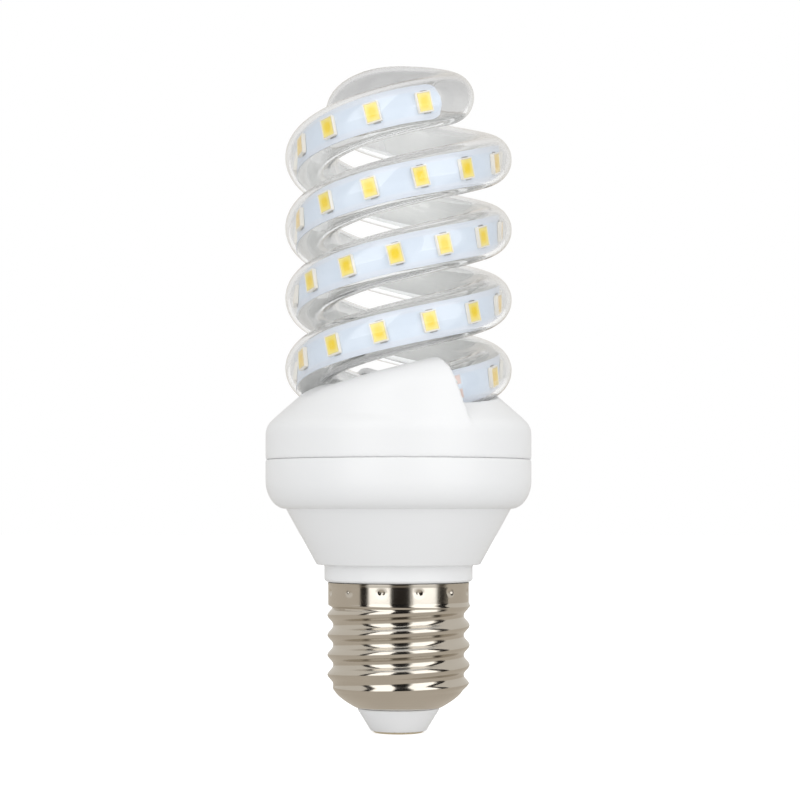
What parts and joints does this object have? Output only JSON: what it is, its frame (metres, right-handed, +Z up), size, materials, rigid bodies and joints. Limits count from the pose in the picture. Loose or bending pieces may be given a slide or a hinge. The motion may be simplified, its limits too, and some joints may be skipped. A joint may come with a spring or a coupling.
{
  "type": "spiral led bulb",
  "caption": "Spiral LED lamp: clear glass tube wound as a double spiral with LED strips inside, white tapered housing and E27 screw base.",
  "frame": {"origin": "middle of the centre contact's underside, on the lamp's axis", "axes": "+Z up the lamp's axis from the screw base to the glass, -Y towards the viewer with the front hood's mouth, +X to the right"},
  "size_m": [0.0488, 0.0486, 0.1221],
  "materials": {
    "clear_glass": "clear polished glass",
    "strip": "white solder mask on a flexible circuit",
    "led_frame": "white moulded LED body",
    "phosphor": "yellow phosphor in clear gel",
    "silicone": "translucent white silicone",
    "lead_insulation": "white lead insulation",
    "white_plastic": "white moulded plastic, satin",
    "nickel": "nickel plating, bright, slightly warm",
    "pale_insulator": "pale moulded insulator, satin",
    "contact_brass": "tinned brass",
    "board": "pale laminate board",
    "black_epoxy": "black epoxy package",
    "can_sleeve": "dark plastic sleeve on an aluminium can",
    "ferrite": "dark ferrite",
    "copper": "enamelled copper wire",
    "film_case": "coated film capacitor",
    "resistor_body": "coated resistor"
  },
  "bodies": {
    "root": {"spiral_tube": "clear_glass", "led_strip_front": "strip", "led_strip_rear": "strip", "led_packages_front": "led_frame", "led_packages_rear": "led_frame", "led_phosphors_front": "phosphor", "led_phosphors_rear": "phosphor", "tube_seal_front": "silicone", "tube_seal_rear": "silicone", "strip_leads_front": "lead_insulation", "strip_leads_rear": "lead_insulation", "upper_cover": "white_plastic", "lower_housing": "white_plastic", "screw_shell": "nickel", "base_insulator": "pale_insulator", "centre_contact": "contact_brass", "driver_board": "board", "bridge_rectifier": "black_epoxy", "driver_chip": "black_epoxy", "input_capacitor": "can_sleeve", "output_capacitor": "can_sleeve", "inductor_core": "ferrite", "inductor_winding": "copper", "film_capacitor": "film_case", "fuse_resistor": "resistor_body", "live_lead": "lead_insulation", "neutral_lead": "lead_insulation"}
  },
  "joints": []
}
